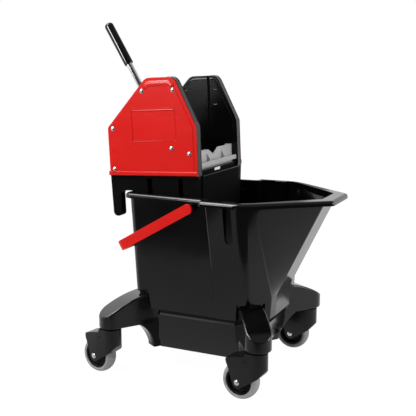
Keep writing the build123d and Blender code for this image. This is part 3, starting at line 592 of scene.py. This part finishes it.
screw_kinds = {length: headed_pin("screw", *HEAD, 2.0, length) for length in (2.5, 16.0)}
for side, hand in SIDES:
    screws = []
    for u, w, length in SCREW_SPOTS:
        screws.append(on_cover(twin(screw_kinds[length], "screw_set"), side, u, w))
    shown(joined(screws, "cover_screws_" + hand + "_domed"), "cover_screws_" + hand, STEEL)
    pin = headed_pin("press_pin_" + hand + "_domed", *HEAD, 2.5, PRESS_PIN_LENGTH[side])
    shown(on_cover(pin, side, *PRESS_SPOT), "press_pin_" + hand, STEEL)
for pattern in screw_kinds.values():
    bpy.data.objects.remove(pattern)
STEPPED_AXLE = dome(*HEAD) + [(3.2, 0), (3.2, -2.7), (5.0, -2.7), (5.0, -20), (0, -20)]
axle = on_cover(turned("lever_axle_domed", STEPPED_AXLE, 40), -1, *LEVER_SPOT)
shown(axle, "lever_axle", STEEL)


# Beads and edge rolls of the wringer's mouldings, as (u, w) outlines in its own frame
EDGE_FRONT = [(-0.7, 5), (-0.7, 97), (-44.4, 193.4), (-58, 193.4)]
FIELD_FRONT = [(-7, 54), (-7, 95.5), (-48.5, 187), (-59.5, 187)]
FIELD_REAR = [(-66.5, 187), (-103.5, 187), (-193, 94.2), (-193, 60)]
ROLL = [(-109, 175.3), (-102.5, 182), (-51.5, 182), (-49.5, 177.5)]
PANEL_TOP = [(-138, 129.8), (-46, 130.8)]
PANEL_FOOT = [(-138, 68.0), (-44, 69.6)]
WEB_MARKS = [(-115.4, 163.0), (-46.6, 163.2), (-48.0, 131.0)]

# Each outline of a cover with its bead's radius, ease and depth, then the beads' places and small sizes
COVER_LINES = [(ROLL, 6.0, 10, 0.14), (PANEL_TOP, 1.7, 0, 0.35), (PANEL_FOOT, 1.5, 0, 0.30)]
MARK_HALF = 4.0
MARK_DIP = 0.6
CHEEK_EDGES = (91.7, 107.1)
FIELD_FACE = 91.2
WEB_FACE = 91.0
COVER_SKIN = 110.9
BAR_TOP = [(-6.3, -90, 7.7), (-6.3, 90, 7.7)]
BAR_FOOT = [(1.7, -90, -2.5), (1.7, 90, -2.5)]
FLANGE_EDGE = [(-4.2, -89.4, 21.9), (-4.2, 89.4, 21.9)]


def outline_bead(name, outline, y, radius, ease, depth=1.0, smooth=3):
    """Bead along an outline at one y, its depth across the outline's plane as a share of its width."""
    path = [(u, 0, w) for u, w in outline]
    if ease:
        path = rounded(path, ease)
    squeeze = Matrix.Translation((0, y * MM, 0)) @ Matrix.Diagonal((1, depth, 1, 1))
    return settled(bead(name, path, radius, smooth), WRINGER_PLACE @ squeeze)


def on_body(piece, body, material):
    give(piece, material)
    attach(piece, body)


for side, hand in SIDES:
    lines = [outline_bead("edge", EDGE_FRONT, side * y, radius=1.3, ease=12) for y in CHEEK_EDGES]
    for field in (FIELD_FRONT, FIELD_REAR):
        y = side * FIELD_FACE
        lines.append(outline_bead("edge", field, y, radius=2.2, ease=10, depth=0.9, smooth=0))
    for u, w in WEB_MARKS:
        y = side * WEB_FACE
        mark = [(u - MARK_HALF, w + MARK_DIP), (u, w), (u + MARK_HALF, w + MARK_DIP)]
        lines.append(outline_bead("edge", mark, y, radius=1.8, ease=2, depth=0.9, smooth=0))
    on_body(joined(lines, "cheek_beads_" + hand), "wringer", FRAME_BLACK)
    rolls = [outline_bead("roll", outline, side * COVER_SKIN, *shape) for outline, *shape in COVER_LINES]
    on_body(joined(rolls, "cover_rolls_" + hand), "wringer", ROLL_RED)
bar_lines = [
    settled(bead("bar_line", BAR_TOP, 1.1), WRINGER_PLACE),
    settled(bead("bar_line", BAR_FOOT, 0.9), WRINGER_PLACE),
]
on_body(joined(bar_lines, "front_bar_edges"), "wringer", ARM_BLACK)
flange_lip = settled(bead("press_flange_lip", FLANGE_EDGE, 1.1), WRINGER_PLACE)
on_body(flange_lip, "press", PRESS_GREY)

# A blank label on the front bar
LABEL_SIZE = (0.0004, 0.0272, 0.0054)
LABEL_AT = (-0.0054, -0.0059, 0.0037)
LABEL_ROUND = 0.00012
bpy.ops.object.select_all(action="DESELECT")
bpy.ops.mesh.primitive_cube_add(size=1.0)
label = bpy.context.object
label.name = "front_bar_label"
label.dimensions = LABEL_SIZE
bpy.ops.object.transform_apply(location=False, rotation=False, scale=True)
start_edit(label)
bpy.ops.mesh.bevel(offset=LABEL_ROUND, segments=2)
end_edit()
settled(label, WRINGER_PLACE @ Matrix.Translation(LABEL_AT))
on_body(label, "wringer", LABEL_WHITE)


# Camera, floor and light
CAMERA_AT = Vector((0.6495, -1.4638, 0.6367))
CAMERA_TURN = math.radians(25.02)
CAMERA_DIP = math.radians(10.466)
FOCAL_PIXELS = 777.99
PICTURE_PIXELS = 416.0
lens = bpy.data.cameras.new("camera")
lens.sensor_width = 36.0
lens.lens = FOCAL_PIXELS / PICTURE_PIXELS * lens.sensor_width
camera = bpy.data.objects.new("camera", lens)
bpy.context.scene.collection.objects.link(camera)
camera.location = CAMERA_AT
aim = Vector((
    -math.sin(CAMERA_TURN) * math.cos(CAMERA_DIP),
    math.cos(CAMERA_TURN) * math.cos(CAMERA_DIP),
    -math.sin(CAMERA_DIP),
))
camera.rotation_euler = aim.to_track_quat("-Z", "Y").to_euler()
bpy.context.scene.camera = camera


def softbox(name, at, towards, size, power):
    """Rectangular lamp aimed at a point."""
    lamp = bpy.data.lights.new(name, "AREA")
    lamp.shape = "RECTANGLE"
    lamp.size, lamp.size_y = size
    lamp.energy = power
    box = bpy.data.objects.new(name, lamp)
    bpy.context.scene.collection.objects.link(box)
    box.location = at
    box.rotation_euler = (Vector(towards) - Vector(at)).to_track_quat("-Z", "Y").to_euler()
    return box


softbox("overhead", (-0.7, -0.9, 2.1), (0, 0, 0.3), (0.8, 0.8), 28.0)
softbox("front", (2.2, 0.45, 1.0), (0.1, 0, 0.3), (0.7, 1.3), 26.0)
softbox("side", (-1.05, -2.1, 1.3), (0, 0, 0.4), (0.5, 1.4), 20.0)

# Two lamps that light one piece of the lever each, for the long line of light along it
LEVER_LAMP_AT = (-1.08, -1.88, 0.81)
LEVER_MIDDLE = (-0.18, -0.10, 0.66)
LEVER_LAMP_HEIGHT = 1.2
for name, piece, width, power in (("grip_lamp", grip, 0.50, 75.0), ("tube_lamp", tube, 0.80, 9.0)):
    size = (width, LEVER_LAMP_HEIGHT)
    links = softbox(name, LEVER_LAMP_AT, LEVER_MIDDLE, size, power).light_linking
    links.receiver_collection = bpy.data.collections.new(name + "_lights")
    links.receiver_collection.objects.link(piece)

# White all round but for a dark bay on the camera's side, which only gloss sees
AMBIENT = 0.42
DARK = 0.05
CEILING = 0.32
CEILING_EDGE = (0.38, 0.62)
NEAR_FLOOR = 0.45
BAY_SLOPE = 0.28
BAY_EDGE = (0.48, 0.58)
LEFT_SLOPE = 0.75
RUNNER_MIDDLE = -0.15
RUNNER_EDGE = (0.09, 0.14)
SHADOW_SHARE = 0.05
BACKGROUND = 1.03
FAR_EDGE = (-0.45, 0.15)
LEFT_EDGE = (-0.20, 0.05)
FLOOR_FAR_EDGE = (-0.5, 0.4)
FLOOR_LEFT_EDGE = (0.0, 0.4)
LAMP = 8.0
LOFT = 0.8
world = bpy.data.worlds.new("studio")
bpy.context.scene.world = world
world.use_nodes = True
room = Nodes(world.node_tree)
heading = room.node("ShaderNodeTexCoord", {}, {}, "Generated")
east, north, up = [room.node("ShaderNodeSeparateXYZ", {}, {0: heading}, name) for name in "XYZ"]
lit = north.clipped(*FAR_EDGE).larger((LEFT_SLOPE * north - east).clipped(*LEFT_EDGE))
level = DARK + (1 - DARK) * lit
level = level + (CEILING - level) * up.clipped(*CEILING_EDGE)


def panel(east_span, north_span, soft, up_edge):
    """1 inside a soft-edged patch of the room above the object."""
    return east.between(*east_span, soft) * north.between(*north_span, soft) * up.clipped(*up_edge)


level = level + panel((-0.80, -0.20), (-0.45, 0.20), 0.05, (0.40, 0.50)) * LAMP
level = level + panel((-0.85, 0.05), (0.25, 0.85), 0.10, (0.30, 0.40)) * LOFT
backdrop = room.ray("Camera").larger(level)
sky = world.node_tree.nodes["Background"]
sky.inputs["Color"].default_value = (1, 1, 1, 1)
strength = AMBIENT + room.white_rays() * (backdrop - AMBIENT)
world.node_tree.links.new(strength.socket, sky.inputs["Strength"])

bpy.ops.object.select_all(action="DESELECT")
bpy.ops.mesh.primitive_plane_add(size=12.0, location=(0, 0, -0.0005))
floor = bpy.context.object
floor.name = "floor"
paper = Finish("paper", 0.8)
paper.colour((0.9, 0.9, 0.9))
east = paper.axis("X")
north = paper.axis("Y")
leftward = (LEFT_SLOPE * north - east).clipped(*FLOOR_LEFT_EDGE)
lit = NEAR_FLOOR + (1 - NEAR_FLOOR) * north.clipped(*FLOOR_FAR_EDGE).larger(leftward)
aside = (east - RUNNER_MIDDLE).size().clipped(*RUNNER_EDGE)
bay = (1 - leftward) * aside * (BAY_SLOPE * east - north).clipped(*BAY_EDGE)
brightness = (paper.ray("Camera") * BACKGROUND).larger(lit * (1 - (1 - DARK) * bay))
glow = paper.node("ShaderNodeEmission", {}, {"Strength": brightness})
matt = Value(paper, paper.shader.outputs[0])
share = paper.white_rays() * (1 - SHADOW_SHARE)
surface = paper.node("ShaderNodeMixShader", {}, {0: share, 1: matt, 2: glow})
paper.tree.links.new(surface.socket, paper.tree.nodes["Material Output"].inputs["Surface"])
give(floor, paper.material)

bpy.context.scene.view_settings.view_transform = "Standard"
